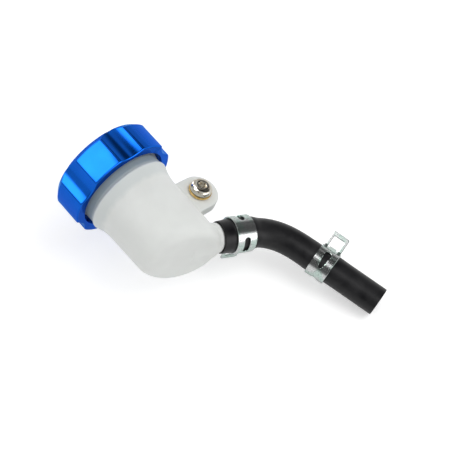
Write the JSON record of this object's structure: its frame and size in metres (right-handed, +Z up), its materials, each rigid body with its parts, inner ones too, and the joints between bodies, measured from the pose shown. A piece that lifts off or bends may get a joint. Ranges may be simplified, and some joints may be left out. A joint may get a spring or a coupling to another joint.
{
  "type": "brake fluid reservoir",
  "caption": "Remote brake fluid reservoir: fluted screw cap, milky body with a mounting ear and screw, and a short outlet hose with band clamps.",
  "frame": {"origin": "middle of the ear's back face, on the axis of the mounting screw", "axes": "+Z up along the reservoir's axis, cap on top; +X from the reservoir towards the ear and the outlet; the screw's head is on the -Y side and the bracket goes on the +Y side"},
  "size_m": [0.0897, 0.048, 0.1162],
  "materials": {
    "milky_plastic": "translucent milky moulding, satin",
    "blue_anodised": "bright blue anodised, turned and fluted",
    "bellows_rubber": "matt moulded rubber",
    "white_plastic": "satin moulded plastic",
    "bright_steel": "bright plated steel",
    "brass": "turned brass",
    "zinc_plate": "zinc plated spring steel",
    "black_rubber": "satin extruded rubber"
  },
  "bodies": {
    "reservoir": {"reservoir_body": "milky_plastic", "mounting_screw": "bright_steel", "ear_bush": "brass", "washer": "zinc_plate", "nut": "zinc_plate", "hose": "black_rubber", "inner_clamp": "zinc_plate", "outer_clamp": "zinc_plate"},
    "plate": {"diaphragm_plate": "white_plastic", "diaphragm": "bellows_rubber"},
    "cap": {"cap": "blue_anodised"}
  },
  "joints": [
    {"name": "cap_rise", "type": "slide", "parent": "reservoir", "child": "plate", "axis": [0, 0, 1], "range_m": [0, 0.0076]},
    {"name": "cap_turn", "type": "hinge", "parent": "plate", "child": "cap", "pos_m": [-0.027, -0.0025, 0.0186], "axis": [0, 0, 1], "range_deg": [0, 900]}
  ],
  "couplings": [
    {"joint": "cap_rise", "follows": "cap_turn", "m_per_rad": 0.00047746}
  ]
}
